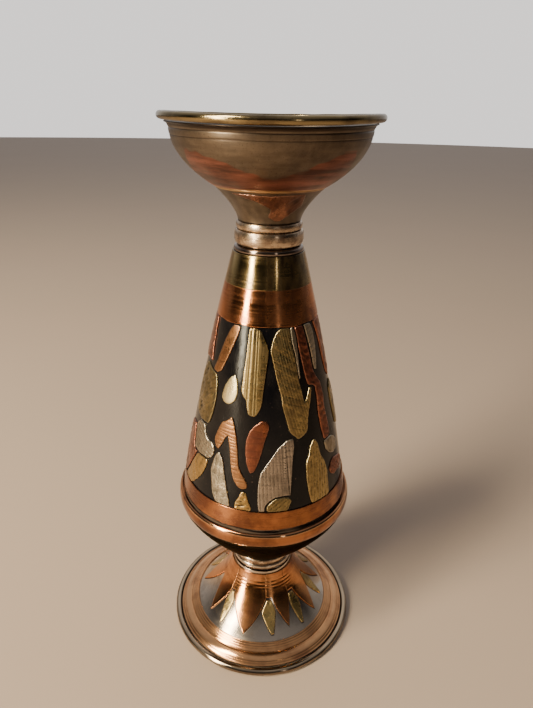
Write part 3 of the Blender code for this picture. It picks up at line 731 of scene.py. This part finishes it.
def cut_shapes():
    coarse = 0.45

    def shape(node, material, *reliefs, spacing=0.36):
        applied(node, cone_profile, material, together(*reliefs), spacing)
    shape("copper_wedge_left", copper_red, hammered(0.05, 3, 1), crossed(4, 0.05), spacing=coarse)
    shape("copper_strip_left", copper_gold, crossed(7, 0.06, seed=3), pillow(0.1, 1.2), spacing=coarse)
    shape("olive_patch_left", brass_olive, hammered(0.10, 1.8, 4), ribs(1.3, 0.05, slant=6), spacing=coarse)
    shape("brass_tongue_centre", brass_drawn, groove(-0.7, 0.16), groove(0.4, 0.14), groove(-2.9, 0.12),
          ribs(1.25, 0.07), crossed(3.1, 0.04, seed=35))
    shape("brass_tongue_right", brass_drawn, ribs(1.2, 0.17, slant=14), crossed(3.3, 0.06, slant=-30, seed=36),
          hammered(0.05, 3, 5))
    shape("nickel_sliver", nickel_pale, pillow(0.1, 0.6))
    shape("copper_chain", copper_red, crossed(2.4, 0.05, slant=-28, seed=6), groove(0.2, 0.08, slant=18),
          hammered(0.06, 2, 6))
    shape("nickel_strip_right", nickel_pale, crossed(2.3, 0.07, slant=12, seed=7))
    shape("copper_edge_right", copper_red, hammered(0.08, 3, 7), spacing=coarse)
    shape("silver_leaf", silver_cream, pillow(0.14, 2.0), ribs(0.8, 0.03))
    shape("copper_chevron", copper_gold, crossed(1.7, 0.09, seed=8), pillow(0.1, 1.2))
    shape("nickel_spotted_shape", nickel_pale, spotted(1.0, 0.09, 0.32), hammered(0.06, 2.6, 34),
          ribs(2.6, 0.06))
    shape("brass_ring_piece", brass_gold, spotted(1.3, 0.07, 0.4), hammered(0.1, 1.4, 9))
    shape("copper_leaf", copper_red, crossed(3.2, 0.07, seed=10), pillow(0.14, 1.6))
    shape("nickel_blade", nickel_grey, ribs(1.55, 0.22, slant=3), crossed(1.2, 0.06, seed=31),
          beads(3.4, 1.15, 0.25), groove(2.5, 0.18, slant=3), groove(4.4, 0.18, slant=3))
    shape("brass_blade_foot", brass_olive, ribs(1.5, 0.24, slant=-50), hammered(0.05, 2, 32))
    shape("copper_scrap_right", copper_red, hammered(0.1, 1.6, 21))
    shape("brass_ribbed_right", brass_drawn, ribs(1.6, 0.26, slant=-4), crossed(1.7, 0.05, seed=33),
          hammered(0.05, 3, 22))
    shape("nickel_end_right", nickel_pale, pillow(0.12, 1.5), hammered(0.05, 2, 11), spacing=coarse)
    shape("brass_wedge_right", brass_olive, hammered(0.08, 2.5, 12), spacing=coarse)
    shape("nickel_ribbed_left", nickel_pale, ribs(1.7, 0.24, slant=70), hammered(0.06, 2, 13))
    shape("copper_edge_left", copper_red, hammered(0.08, 3, 14), spacing=coarse)
    shape("brass_lower_left", brass_gold, ribs(1.3, 0.06, slant=35), hammered(0.07, 3, 15), spacing=coarse)
    shape("copper_strip_back", copper_gold, crossed(3, 0.08, seed=16), pillow(0.1, 1.2), spacing=coarse)
    shape("nickel_blade_back", nickel_grey, ribs(1.55, 0.13), beads(-2.0, 1.2, 0.2))
    shape("brass_tongue_back", brass_drawn, ribs(1.0, 0.12, slant=8), hammered(0.06, 2, 17))
    shape("copper_leaf_back", copper_red, crossed(4.6, 0.05, seed=18), pillow(0.14, 1.8), spacing=coarse)
    shape("nickel_leaf_back", nickel_pale, pillow(0.14, 2.0), ribs(0.9, 0.04))
    shape("brass_wedge_back", brass_olive, hammered(0.1, 2.4, 19), spotted(2.2, 0.12, 0.5), spacing=coarse)
    for seed, node in enumerate(BRASS_PETALS, 1):
        applied(node, foot_profile, brass_petal, hammered(0.03, 3, seed), 0.3, top=0.16, soft=(0.25, 0.12))
    leaf = together(pillow(0.12, 1.6), hammered(0.05, 2.5, 20))
    applied("stem_copper_leaf", stem_profile, copper_dull, leaf, coarse)


# ---------------------------------------------------------------- foot

# The star's petals: tip angle, tip radius, degrees from the tip to the root on the left and on the right.
ROSETTE_PETALS = (
    (-57.0, 32.0, 20.0, 12.0), (-16.0, 32.8, 29.0, 26.0), (28.0, 31.0, 16.0, 14.0),
    (61.5, 32.4, 15.0, 22.0), (103.0, 32.6, 20.0, 20.0), (143.0, 31.4, 20.0, 20.0),
    (184.0, 32.8, 22.0, 22.0), (225.0, 31.2, 19.0, 19.0), (264.0, 32.4, 20.0, 19.0),
)
ROSETTE_ROOT = 19.2             # radius where neighbouring points meet
ROSETTE_CURVE = 0.95
ROSETTE_FILL = 21.0             # the valleys are closed up to here, where the brass petals begin


def petal_turn(a, petal):
    """Angle from a petal's tip as a share of its root width on that side."""
    tip, _, left, right = petal
    turn = signed(a - tip)
    return np.where(turn > 0, turn / right, -turn / left)


def rosette_edge(a):
    """Radius of the star's edge at an angle."""
    edge = np.full_like(a, ROSETTE_ROOT)
    for petal in ROSETTE_PETALS:
        reach = petal[1]
        away = np.minimum(petal_turn(a, petal), 1.0)
        edge = np.maximum(edge, reach - (reach - ROSETTE_ROOT) * away ** ROSETTE_CURVE)
    return np.maximum(edge, ROSETTE_FILL)


def petal_seams(a, r, width):
    """1 on the seams that run in from the valleys between the star's petals, falling to 0 beside them."""
    turn = np.arange(0, 360, 0.5)
    edge = rosette_edge(turn)
    low = (edge < np.roll(edge, 1)) & (edge <= np.roll(edge, -1))
    line = np.zeros_like(r)
    for valley in turn[low]:
        off = signed(a - valley) * np.radians(1) * r
        line = np.maximum(line, bell(off, 0, width))
    return line


def star_outline(a, r, width):
    """1 just outside the star's edge, falling to 0 further out."""
    gap = (r - rosette_edge(a)) * 0.42      # the edge slants, so it is nearer than its radius says
    return bell(np.clip(gap, 0, None), 0, width)


def copper_rosette():
    """Copper star laid on the upper foot, with overlapping petals chased into it."""
    columns, rows, inner = 1080, 56, 15.9
    angle = np.arange(columns) * 360.0 / columns
    edge = rosette_edge(angle)
    share = np.linspace(0, 1, rows) ** 0.9
    a = np.broadcast_to(angle[:, None], (columns, rows))
    r = inner + (edge[:, None] - inner) * share[None]
    line = petal_seams(a, r, 0.14)
    ridges = bell(r, 17.6, 1.3) * np.sin(tau * r / 0.75)
    wave = noise_field(51)
    near_rim = unit((edge[:, None] - r) / 0.35)
    lift = TOP - EDGE_DROP * (1 - np.sqrt(1 - (1 - near_rim) ** 2)) - 0.16 * line * (near_rim > 0.9)
    lift = lift + 0.05 * ridges + 0.05 * wave(a, r)
    top = wrapped(foot_profile, a, r, lift).reshape(-1, 3)
    low_rows = 24
    low_share = np.linspace(0, 1, low_rows)
    low_r = inner + (edge[:, None] - inner) * low_share[None]
    low_a = np.broadcast_to(angle[:, None], low_r.shape)
    bottom = wrapped(foot_profile, low_a, low_r, np.full_like(low_r, BURIED)).reshape(-1, 3)
    base = columns * rows
    column = np.arange(columns)
    after = (column + 1) % columns

    def sheet(count, start):
        c, c1, k = start + column[:, None] * count, start + after[:, None] * count, np.arange(count - 1)[None]
        return np.stack([c + k, c1 + k, c1 + k + 1, c + k + 1], -1).reshape(-1, 4)
    upper, under = sheet(rows, 0), sheet(low_rows, base)[:, ::-1]
    top_in, top_in1 = column * rows, after * rows
    low_in, low_in1 = base + column * low_rows, base + after * low_rows
    hub = np.stack([top_in, low_in, low_in1, top_in1], -1)
    rim = np.stack([top_in + rows - 1, top_in1 + rows - 1, low_in1 + low_rows - 1, low_in + low_rows - 1], -1)
    hidden = np.ones(len(bottom))
    dirt_and_shade = 0.95 * line * (near_rim > 0.3) + 0.35 * unit(1 - (r - inner) / 0.6)
    turn = signed(a)
    stain = unit(bell(turn, 7, 13) + 0.7 * bell(turn, -44, 9) + 0.5 * bell(turn, 45, 14))
    dirt_and_shade = np.maximum(dirt_and_shade, (0.62 + 0.2 * wave(a * 3, r)) * stain * unit((29 - r) / 5))
    attributes = {"dirt_and_shade": np.concatenate([dirt_and_shade.ravel(), hidden]),
                  "edge": np.concatenate([0.35 * (1 - near_rim).ravel(), 0 * hidden])}
    finish_mesh("foot_copper_rosette_sheet", np.vstack([top, bottom]), [np.vstack([upper, under, hub, rim])],
                attributes, "foot_copper_rosette", copper_foot, sharp=60)


def outline_lines(nodes, profile, a, place, width, scale_r):
    """1 on the outlines of some applied sheets, falling to 0 beside them."""
    line = np.zeros(a.size)
    spot = np.stack([signed(a.ravel()) * radians(1) * scale_r, place.ravel()], -1)
    for node in nodes:
        loop = node_outline(node, profile)
        loop = np.stack([signed(loop[:, 0]) * radians(1) * scale_r, loop[:, 1]], -1)
        if np.ptp(loop[:, 0]) > pi * scale_r:
            continue
        low, high = loop.min(0) - 1, loop.max(0) + 1
        near = ((spot > low) & (spot < high)).all(1)
        if near.any():
            line[near] = np.maximum(line[near], bell(edge_distance(spot[near], loop), 0, width))
    return line.reshape(a.shape)


def foot():
    wave = noise_field(31)
    edge = radius("foot_sheet")
    section = sheet_section(foot_profile, spaced(15.6, edge, 60), GROUND + 0.02, 0.8)

    def ground_dirt(a, r, z):
        top = z > foot_profile(r)[1] - 0.75
        star = star_outline(a, r, 0.25) * np.clip((r - 21.5) / 4, 0.25, 1)
        seams = np.maximum(star, outline_lines(BRASS_PETALS, foot_profile, a, r, 0.32, 26.0))
        return np.where(top, np.maximum(0.95 * seams, 0.8 * bell(r, 34.7, 0.25)), 0.3)
    turned("foot_nickel_sheet", section, nickel_spun, "foot_sheet", 720, rounding=0.1, step=0.42,
           wobble=lambda a, r, z: (0.05 * wave(a, r), 0.05 * wave(a + 40, r)), dirt_and_shade=ground_dirt)
    skirt_out = radius("foot_copper_skirt")
    places = spaced(34.9, skirt_out - 0.1, 70)
    inner_groove, roll_at, outer_groove = 38.8, 41.2, 42.4

    def swell(r):
        """The skirt's outer part is a low roll between grooves."""
        roll = unit(1 - ((r - roll_at) / 2.3) ** 2)
        grooves = 0.2 * bell(r, inner_groove, 0.2) + 0.1 * bell(r, outer_groove, 0.2)
        fine = 0.035 * np.sin(tau * r / 0.9) * unit((38.2 - r) / 1.5)
        return 0.12 + 0.42 * roll - grooves + fine
    outer = [lifted(foot_profile, p, swell(p)) for p in places]
    inner = [lifted(foot_profile, p, GROUND - 0.05) for p in reversed(places)]

    def skirt_dirt(a, r, z):
        inner_edge = 0.45 * bell(r, 35.1, 0.25)
        grooves = 0.7 * bell(r, inner_groove, 0.25) + inner_edge + 0.5 * bell(r, outer_groove, 0.2)
        return grooves + 0.95 * unit((r - skirt_out + 0.6) / 0.5)
    # The edge field lightens the crest of the roll: a painted highlight, with wear.
    turned("foot_copper_skirt_sheet", outer + inner, copper_skirt, "foot_copper_skirt", 360, rounding=0.08,
           step=0.4, wobble=lambda a, r, z: (0.05 * wave(a, r), 0.07 * wave(a + 90, r)), dirt_and_shade=skirt_dirt,
           edge=lambda a, r, z: bell(r, roll_at, 1.0))
    roll_r = 1.62
    centre_r = radius("foot_rolled_rim") - roll_r
    ring = [(r, max(z, 0.0)) for r, z in wire(centre_r, roll_r + 0.04, roll_r)]

    def rim_wobble(a, r, z):
        return 0.10 * wave(a * 2, 0 * r), np.where(z > 0.3, 0.14 * wave(a * 3, 0 * r + 5), 0)
    # The edge field lightens the top of the rolled rim: a painted highlight, with wear.
    turned("foot_rim_roll", ring, pewter_rim, "foot_rolled_rim", 360, rounding=0.1, step=0.4,
           wobble=rim_wobble, dirt_and_shade=lambda a, r, z: unit(centre_r - 0.3 - r),
           edge=lambda a, r, z: unit((z - 2.6) / 0.6))


def collars():
    wave = noise_field(33)
    mottle = noise_field(34, 16)
    seam = 0.1                  # each ring reaches this far into the gaps above and below it

    def beaded(node, name, material, under=1.1):
        low, high = low_z(node) - seam, high_z(node) + seam
        section = bulge(radius(node), low, high, 0.6, 1.1, under) + [(ROD_R, low), (ROD_R, high)]

        def stain(a, r, z):
            ends = 0.5 * unit(1 - np.minimum(z - low, high - z) / 0.25)
            return (r > 6) * np.maximum(ends, 0.42 + 0.42 * mottle(a * 5, z * 5))
        turned(name, section, material, node, 192, rounding=0.15, step=0.5, dirt_and_shade=stain,
               wobble=lambda a, r, z: (np.where(r > 8, 0.07 * wave(a, z), 0), 0.04 * wave(a + 30, z)))
    beaded("lower_collar", "lower_collar_ring", nickel_spun)
    beaded("lower_collar_step", "lower_collar_step_ring", brass_neck)
    beaded("neck_bead", "neck_bead_ring", brass_neck, 2.2)
    beaded("neck_ring", "neck_upper_ring", brass_neck)


def lower_bowl():
    wave = noise_field(35)
    places = spaced(BOWL_HIGH, BOWL_LOW, 50)
    outer = [lifted(bowl_profile, z, 0.0) for z in places]
    inner = [lifted(bowl_profile, z, -1.1) for z in reversed(places[1:-3])]
    floor = [(ROD_R, BOWL_LOW), (ROD_R, BOWL_LOW + 1.2)]
    section = [(r, min(z, BOWL_HIGH)) for r, z in outer] + floor + inner
    turned("lower_bowl_shell", section, dark_brass, "lower_bowl", 320, rounding=0.15, step=0.7,
           wobble=lambda a, r, z: (np.where(r > 6, 0.10 * wave(a, z), 0), 0.05 * wave(a + 10, z)),
           dirt_and_shade=lambda a, r, z: unit(1 - (BOWL_HIGH - z) / 0.9) * 0.8)


def girdle():
    wave = noise_field(37)
    low, high, widest = low_z("girdle_ring"), high_z("girdle_ring"), radius("girdle_ring")
    bowl_r, flange_r, flange_low, flange_high = 39.7, 37.2, 78.6, 79.8
    section = bulge(widest, low, high, 0.7, 1.5, 1.5)
    section += [(bowl_r, low), (bowl_r, flange_low), (flange_r, flange_low), (flange_r, flange_high),
                (widest - 1.35, flange_high), (widest - 1.3, high - 0.1)]
    # The dirt field darkens the inner slope of the lip, above 76.6 mm, as painted shade in the trough; the
    # edge field paints highlight lines along the lip's top and lower edge, with wear.
    turned("girdle_ring_band", section, copper_ring, "girdle_ring", 320, rounding=0.15, step=0.6,
           wobble=lambda a, r, z: (0.10 * wave(a, z), 0.16 * wave(a * 2 + 20, 0 * z)),
           dirt_and_shade=lambda a, r, z: 0.6 * unit((widest - 1.1 - r) / 0.8) * (z > 76.6),
           edge=lambda a, r, z: bell(z - low, 0.5, 0.4) + bell(z - high, -0.7, 0.5))


# ---------------------------------------------------------------- cone

def cone():
    wave = noise_field(39)
    mottle = noise_field(40, 14)
    places = spaced(CONE_HIGH, CONE_LOW, 60)
    turned("cone_black_shell", sheet_section(cone_profile, places, GROUND, 1.0), black, "cone_shell", 320,
           rounding=0.15, step=1.0, wobble=lambda a, r, z: (0.05 * wave(a, z), 0 * z),
           worn=lambda a, r, z: unit((85.2 - z) / 0.8))

    def band(node, material, ragged, raised):
        low, high = low_z(node) + raised, high_z(node)
        rough_edge = noise_field(len(node), 9)

        def stain(a, r, z):
            turn = signed(a)
            ends = unit(1 - np.minimum(z - low, high - z) / 0.25) * 0.7
            if node == "cone_base_band":
                return np.maximum(ends, 0.5 + 0.2 * mottle(a * 2, z))
            # Painted shade: the right side, from about 0 to 80 degrees, is darkened as if turned from the
            # light, broken up by mottled stain.
            side = unit((turn + 9) / 9) * unit((82 - turn) / 20)
            if node == "cone_brass_band":
                # A slanting streak near 11.5 degrees is kept light: a painted highlight.
                side *= 1 - 0.8 * bell(turn - 11.5, 0.4 * (z - 193), 2.2)
                return np.maximum(ends, side * (0.80 + 0.35 * mottle(a * 4, z * 2)))
            marks = sum(bell(turn, at, 0.7) * bell(z, 182, 2.2) for at in (-28, -24.5, -19))
            return np.maximum(np.maximum(ends, 0.7 * marks), side * (0.68 + 0.25 * mottle(a * 3, z)))

        def shift(a, r, z):
            near_low = unit(1 - (z - low) / 1.5)
            return 0.06 * wave(a, z), ragged * rough_edge(a * 2, 0 * z) * near_low
        section = sheet_section(cone_profile, spaced(high, low, 24), TOP, TOP - GROUND + 0.06)
        turned(node + "_sheet", section, material, node, 360, rounding=0.18, step=0.5, wobble=shift,
               dirt_and_shade=stain)
    band("cone_base_band", copper_base, 0.25, 0.0)
    band("cone_copper_band", copper_band, 0.45, 0.2)
    band("cone_brass_band", brass_upper, 0.25, -0.2)
    low, high = low_z("cone_cap"), high_z("cone_cap")
    edge = radius("cone_cap")
    section = [(13.4, high), (14.3, high - 0.5), (edge, high - 1.3), (edge, low), (ROD_R, low), (ROD_R, high)]
    turned("cone_cap_disc", section, brass_cap, "cone_cap", 192, rounding=0.25, step=0.5)


# ---------------------------------------------------------------- cup

def copper_field(a, r, z):
    """How strongly the lower cup shows copper: all of its foot, and ragged fields that climb on both sides."""
    wave, fine = noise_field(45), noise_field(46, 14)
    turn = signed(a)
    away = np.minimum(np.abs(turn), np.abs(np.abs(turn) - 150) + 10)
    climb = unit((away - 4) / 40) * unit((68 - away) / 14)
    top = 230.4 + 8.2 * climb + 0.8 * wave(a * 2, z) + 0.8 * fine(a * 5, z)
    return unit((top - z) / 2.2 + 0.5) * unit(0.85 + 0.5 * fine(a * 2, z * 3))


def rim_lift(a):
    """The rim is a little out of true: high at both sides, low in front."""
    turn = np.radians(a)
    twice = 0.62 - 0.42 * np.cos(2 * turn)
    return twice + 0.12 * np.sin(turn) - 0.05 * np.sin(3 * turn + 1) - 0.25 * np.cos(turn)


CUP_LINES = (244.5, 242.2)      # heights of the two lines cut round the bowl


def groove_dirt_and_rim_shade(a, r, z):
    """Dirt in the cut lines, and painted shade under the rim."""
    lines = sum(0.9 * bell(z, row, 0.2) for row in CUP_LINES)
    # Beyond 38.8 mm the flange under the rim is darkened: painted shade.
    return lines + unit((r - 38.8) / 0.5)


def cup():
    wave = noise_field(41)
    places = spaced(CUP_HIGH, CUP_LOW, 60)

    def face(z):
        return 0.1 - 0.22 * sum(bell(z, row, 0.16) for row in CUP_LINES)
    outer = [lifted(cup_profile, z, face(z)) for z in places]
    inner = [lifted(cup_profile, z, -1.0) for z in reversed(places)]
    lip = [(38.4, 246.8), (39.8, 246.8), (40.4, 246.6), (40.4, 246.3), (39.5, 245.9)]
    section = lip + [(r, z) for r, z in outer if z < 245.0] + inner

    def shift(a, r, z):
        share = unit((z - CUP_LOW) / (CUP_HIGH - CUP_LOW))
        return 0.12 * wave(a, z * 0.3) * share, rim_lift(a) * share ** 2
    # The edge field paints a light highlight line along the ledge at the foot of the bowl, with wear.
    turned("drip_cup_bowl", section, patina, "drip_cup", 360, rounding=0.08, step=0.4, wobble=shift,
           dirt_and_shade=groove_dirt_and_rim_shade, copper=copper_field, edge=lambda a, r, z: unit(1 - np.abs(z - CUP_LOW) / 0.5))
    wire_r = 1.5
    centre_r, centre_z = radius("cup_rim_wire") - wire_r, high_z("cup_rim_wire") - wire_r
    dents = noise_field(43, 8)
    ring = wire(centre_r, centre_z, wire_r)
    turned("cup_rim_roll", ring, brass_rim, "cup_rim_wire", 360, rounding=0.05, step=0.5,
           wobble=lambda a, r, z: (0.10 * dents(a * 2, 0 * z), rim_lift(a) + 0.08 * dents(a * 3, 0 * z + 4)))
    places = spaced(STEM_HIGH, STEM_LOW, 40)
    outer = [lifted(stem_profile, z, 0.0) for z in places]
    inner = [lifted(stem_profile, z, -1.0) for z in reversed(places[:-6])]
    section = [(r, max(z, STEM_LOW)) for r, z in outer]
    section += [(ROD_R, STEM_LOW), (ROD_R, STEM_LOW + 1.0), (11.8, STEM_LOW + 1.0)]
    section += [(r, z) for r, z in inner if z > STEM_LOW + 1.4]
    # The edge field paints the same highlight line along the ledge at the top of the stem, with wear.
    turned("cup_stem_shell", section, stem_patina, "cup_stem", 256, rounding=0.15, step=0.5,
           wobble=lambda a, r, z: (np.where(r > 8, 0.08 * wave(a, z), 0), 0 * z),
           dirt_and_shade=lambda a, r, z: unit(1 - (z - STEM_LOW) / 0.6) * 0.3 + 0.45 + 0.2 * wave(a * 3, z * 4),
           copper=lambda a, r, z: unit((z - 218.2) / 4) * 0.5,
           edge=lambda a, r, z: unit(1 - np.abs(z - STEM_HIGH) / 0.7))
    bore, hole = 11.2, 3.3
    seat, seat_under = 216.6, 215.2
    bottom, top = low_z("candle_socket"), high_z("candle_socket")
    section = [(0.0, seat), (bore, seat), (bore, top - 1.4), (bore + 0.9, top - 0.2), (bore + 1.7, top),
               (bore + 2.1, top - 0.4), (bore + 1.3, top - 1.2), (bore + 0.5, top - 2.4), (bore + 0.5, bottom),
               (hole, bottom), (hole, seat_under), (0.0, seat_under)]
    turned("candle_socket_tube", section, brass_bright, "candle_socket", 192, rounding=0.3, step=0.6,
           dirt_and_shade=lambda a, r, z: unit(1 - (z - seat) / 9) * (r < bore + 0.2) * 0.8)


# ---------------------------------------------------------------- inner hardware

def hardware():
    low, high = low_z("tie_rod"), high_z("tie_rod")
    rod = [(0.0, high), (2.6, high), (3.0, high - 0.5), (3.0, low + 0.5), (2.6, low), (0.0, low)]
    pitch, depth = 1.0, 0.32

    def thread(a, r, z):
        phase = (z / pitch + a / 360.0) % 1.0
        cut = depth * (1 - np.abs(2 * phase - 1)) * (r > 2.5)
        ends = (z < low + 14) | (z > high - 14)
        return -cut * ends, 0 * z
    turned("tie_rod_threaded", rod, steel, "tie_rod", 32, rounding=0.1, step=0.2, wobble=thread)
    low, high = low_z("base_plate"), high_z("base_plate")
    plate_r = 18.4
    section = [(plate_r, high), (plate_r, low), (ROD_R, low), (ROD_R, high)]
    turned("base_plate_disc", section, steel, "base_plate", 128, rounding=0.4, step=0.8,
           wobble=lambda a, r, z: (0 * z, -0.25 * np.cos(pi * r / plate_r) * (r < 17)))
    low, high = low_z("base_nut"), high_z("base_nut")
    flats = 10.0

    def hexagon(a, r, z):
        turn = np.radians((a + 30) % 60 - 30)       # from the middle of the nearest flat
        hexed = flats / 2 / np.cos(turn)
        chamfer = unit(np.minimum(z - low, high - z) / 0.5)
        limit = flats / 2 + 0.1 + 0.9 * chamfer
        return np.where(r > 4.5, np.minimum(hexed, limit) - r, 0), 0 * z
    section = [(5.7, high), (5.7, low), (3.9, low), (3.3, low + 0.6), (3.3, high - 0.6), (3.9, high)]
    turned("base_nut_hex", section, steel, "base_nut", 120, rounding=0.2, step=0.5, wobble=hexagon)


# ---------------------------------------------------------------- stage

WARM = (1.0, 0.87, 0.62)
LIGHT_TARGET = Vector((0, 0, 0.13))


def area_light(name, azimuth, elevation, distance, width, height, power, colour=WARM):
    data = bpy.data.lights.new(name, "AREA")
    data.shape = "RECTANGLE"
    data.size, data.size_y = width, height
    data.energy = power
    data.color = colour
    light = bpy.data.objects.new(name, data)
    az, el = radians(azimuth), radians(elevation)
    light.location = LIGHT_TARGET + distance * Vector((sin(az) * cos(el), -cos(az) * cos(el), sin(el)))
    light.rotation_euler = (LIGHT_TARGET - light.location).to_track_quat("-Z", "Y").to_euler()
    bpy.context.scene.collection.objects.link(light)


def pale_floor():
    bm = bmesh.new()
    bmesh.ops.create_circle(bm, cap_ends=True, segments=96, radius=6.0)
    mesh = bpy.data.meshes.new("floor")
    bm.to_mesh(mesh)
    bm.free()
    floor = bpy.data.objects.new("floor", mesh)
    bpy.context.scene.collection.objects.link(floor)
    floor.location.z = cad_low[2] - 0.0002
    n = Nodes(bpy.data.materials.new("floor_pale"))
    n.put("Base Color", n.mix(n.noise(3.0), (0.40, 0.305, 0.24), (0.43, 0.33, 0.26)))
    n.put("Roughness", 0.6)
    mesh.materials.append(n.owner)


def studio():
    """A soft room, brighter behind the object and overhead, and three narrow warm lights."""
    world = bpy.data.worlds.new("studio")
    bpy.context.scene.world = world
    n = Nodes(world, "Background")
    parts = n.add("ShaderNodeSeparateXYZ", {0: n.add("ShaderNodeTexCoord").outputs["Generated"]}).outputs
    glow = n.plus(n.ramp(parts["Y"], 0.0, 0.95, 0.02, 0.7), n.ramp(parts["Z"], 0.35, 0.95, 0.0, 0.32))
    seen = n.add("ShaderNodeLightPath").outputs["Is Camera Ray"]
    n.put("Strength", n.add("ShaderNodeMix", {"Factor": seen, "A": glow, "B": 1.25}).outputs["Result"])
    n.put("Color", (1.0, 0.955, 0.925))
    area_light("window_left", -50, 17, 1.4, 0.24, 0.95, 34)
    area_light("high_left", -60, 46, 1.3, 0.22, 0.9, 27)
    area_light("small_right", 25, 15, 1.5, 0.05, 0.7, 0.5, (1.0, 0.86, 0.70))


CAMERA_BACK = 0.221             # metres in front of the rod, level with the top of the object
CAMERA_DOWN = 24.11
CAMERA_ROLL = 1.19
LENS = 27.2034                  # on a 36 mm sensor


def camera():
    data = bpy.data.cameras.new("camera")
    data.sensor_width = 36
    data.lens = LENS
    data.clip_start = 0.01
    obj = bpy.data.objects.new("camera", data)
    place = Matrix.Translation((0.0, -CAMERA_BACK, cad_high[2]))
    tilt = Matrix.Rotation(radians(90 - CAMERA_DOWN), 4, "X")
    obj.matrix_world = place @ tilt @ Matrix.Rotation(radians(CAMERA_ROLL), 4, "Z")
    bpy.context.scene.collection.objects.link(obj)
    bpy.context.scene.camera = obj


foot()
copper_rosette()
collars()
lower_bowl()
girdle()
cone()
cut_shapes()
cup()
hardware()
camera()
pale_floor()
studio()
